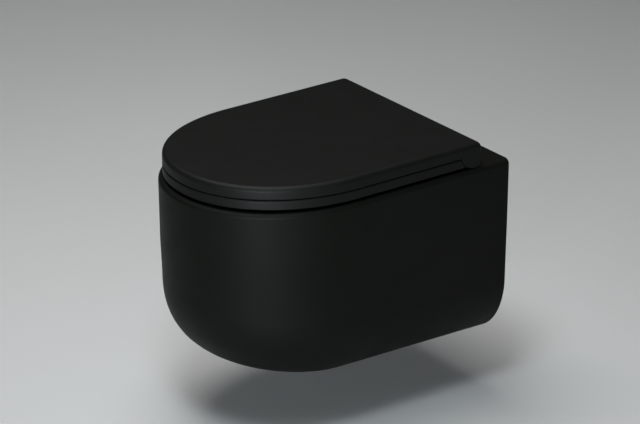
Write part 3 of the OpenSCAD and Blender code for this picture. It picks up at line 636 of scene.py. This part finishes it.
def surface(name, colours, rough, grain, metallic, specular):
    """Material with clouds in its colour and roughness, and a fine grain."""
    material, nodes, links, shader = new_material(name)
    links.new(blend_colours(nodes, links, noise(nodes, links, CLOUD_SCALE), *colours),
              shader.inputs["Base Color"])
    links.new(spread(nodes, links, noise(nodes, links, ROUGH_SCALE, ROUGH_DETAIL), *rough),
              shader.inputs["Roughness"])
    shader.inputs["Metallic"].default_value = metallic
    shader.inputs["Specular IOR Level"].default_value = specular
    scale, strength, depth = grain
    bump = nodes.new("ShaderNodeBump")
    bump.inputs["Strength"].default_value = strength
    bump.inputs["Distance"].default_value = depth * MM
    links.new(noise(nodes, links, scale), bump.inputs["Height"])
    links.new(bump.outputs["Normal"], shader.inputs["Normal"])
    return material


def dress(piece, material):
    piece.data.materials.clear()
    piece.data.materials.append(material)


def dress_node(node, material):
    """A CAD node keeps its mesh, and takes the material in the slots of its object."""
    for place in node.material_slots:
        place.link = "OBJECT"
        place.material = material


# Stage, light and camera

FLOOR_BELOW_RIM, FLOOR_REACH, FLOOR_T = 400, 14000, 20
FLOOR_COLOURS = ((0.48, 0.48, 0.47), (0.52, 0.52, 0.51))
FLOOR_CLOUD_SCALE = 0.6
FLOOR_ROUGHNESS, FLOOR_SPECULAR = 0.9, 0.1
WORLD_STRENGTH = 0.07

# Lamps: name, place, width and height, power, colour, and the angle that the light spreads over
WHITE, WINDOW_TINT = (1, 1, 1), (0.86, 0.94, 1)
LIGHT_TARGET = Vector((0, -0.3, 0))
LIGHTS = (("overhead", (-0.4, -0.5, 2.4), (1.6, 1.6), 54, WHITE, 180),
          ("strip", (1.87, -2.106, 0.1), (0.35, 0.6), 8, WINDOW_TINT, 60),
          ("key", (1.151, -1.411, 2.771), (0.8, 0.8), 45, WINDOW_TINT, 180))

# The camera that was fitted to the photograph's outline, seams and corners, in degrees, metres and pixels
CAMERA_AZIMUTH, CAMERA_ELEVATION = 53.67, 22.99
CAMERA_DISTANCE, CAMERA_RIGHT, CAMERA_UP = 5.503, 0.01393, 0.0306
CAMERA_TARGET = Vector((0, -0.25, -0.04))
FOCAL_PIXELS, IMAGE_WIDTH, SENSOR_WIDTH = 3530, 640, 36
CLIP_END = 60


def make_floor():
    height = RIM_Z - FLOOR_BELOW_RIM
    floor = block("floor", (-FLOOR_REACH, -FLOOR_REACH, height - FLOOR_T), (FLOOR_REACH, FLOOR_REACH, height))
    material, nodes, links, shader = new_material("pale_floor")
    links.new(blend_colours(nodes, links, noise(nodes, links, FLOOR_CLOUD_SCALE), *FLOOR_COLOURS),
              shader.inputs["Base Color"])
    shader.inputs["Roughness"].default_value = FLOOR_ROUGHNESS
    shader.inputs["Specular IOR Level"].default_value = FLOOR_SPECULAR
    dress(floor, material)


def make_world():
    world = bpy.data.worlds.new("studio")
    bpy.context.scene.world = world
    world.use_nodes = True
    background = world.node_tree.nodes["Background"]
    background.inputs["Color"].default_value = (*WHITE, 1)
    background.inputs["Strength"].default_value = WORLD_STRENGTH


def soft_light(name, place, size, power, colour, angle):
    """Area lamp that looks at the middle of the toilet."""
    lamp = bpy.data.lights.new(name, "AREA")
    lamp.shape = "RECTANGLE"
    lamp.size, lamp.size_y = size
    lamp.energy = power
    lamp.color = colour
    lamp.spread = math.radians(angle)
    holder = bpy.data.objects.new(name, lamp)
    bpy.context.collection.objects.link(holder)
    direction = LIGHT_TARGET - Vector(place)
    holder.matrix_world = Matrix.Translation(place) @ direction.to_track_quat("-Z", "Y").to_matrix().to_4x4()
    holder.visible_camera = False


def make_camera():
    azimuth, elevation = math.radians(CAMERA_AZIMUTH), math.radians(CAMERA_ELEVATION)
    back = Vector((math.sin(azimuth) * math.cos(elevation), -math.cos(azimuth) * math.cos(elevation),
                   math.sin(elevation)))
    right = Vector((math.cos(azimuth), math.sin(azimuth), 0))
    up = back.cross(right)
    data = bpy.data.cameras.new("camera")
    data.sensor_fit = "HORIZONTAL"
    data.sensor_width = SENSOR_WIDTH
    data.lens = SENSOR_WIDTH * FOCAL_PIXELS / IMAGE_WIDTH
    data.clip_end = CLIP_END
    camera = bpy.data.objects.new("camera", data)
    bpy.context.collection.objects.link(camera)
    place = CAMERA_TARGET + back * CAMERA_DISTANCE + right * CAMERA_RIGHT + up * CAMERA_UP
    camera.matrix_world = Matrix.Translation(place) @ Matrix((right, up, back)).transposed().to_4x4()
    bpy.context.scene.camera = camera


# The scene

materials = {slot: surface(*finish) for slot, finish in FINISHES.items()}
for entry in frame["record"]["subparts"]:
    dress_node(frame["nodes"][entry["node"]], materials[entry["material_slot"]])

for piece, node, body, slot in ((make_pan(), "pan", "pan", "china_black"),
                                (make_seat(), "seat_ring", "seat", "thermoset_black"),
                                (make_lid(), "lid", "lid", "thermoset_black")):
    dress(piece, materials[slot])
    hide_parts(node)
    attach(piece, body)

# A pressed button leaves its spring the room behind it
for side, x in (("left", -POST_X), ("right", POST_X)):
    spring = make_spring("spring_" + side, x)
    dress(spring, materials["steel"])
    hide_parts("button_spring_" + side)
    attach(spring, "pan")
    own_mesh(spring)

make_camera()
make_floor()
make_world()
for light in LIGHTS:
    soft_light(*light)
bpy.context.scene.view_settings.view_transform = "Standard"
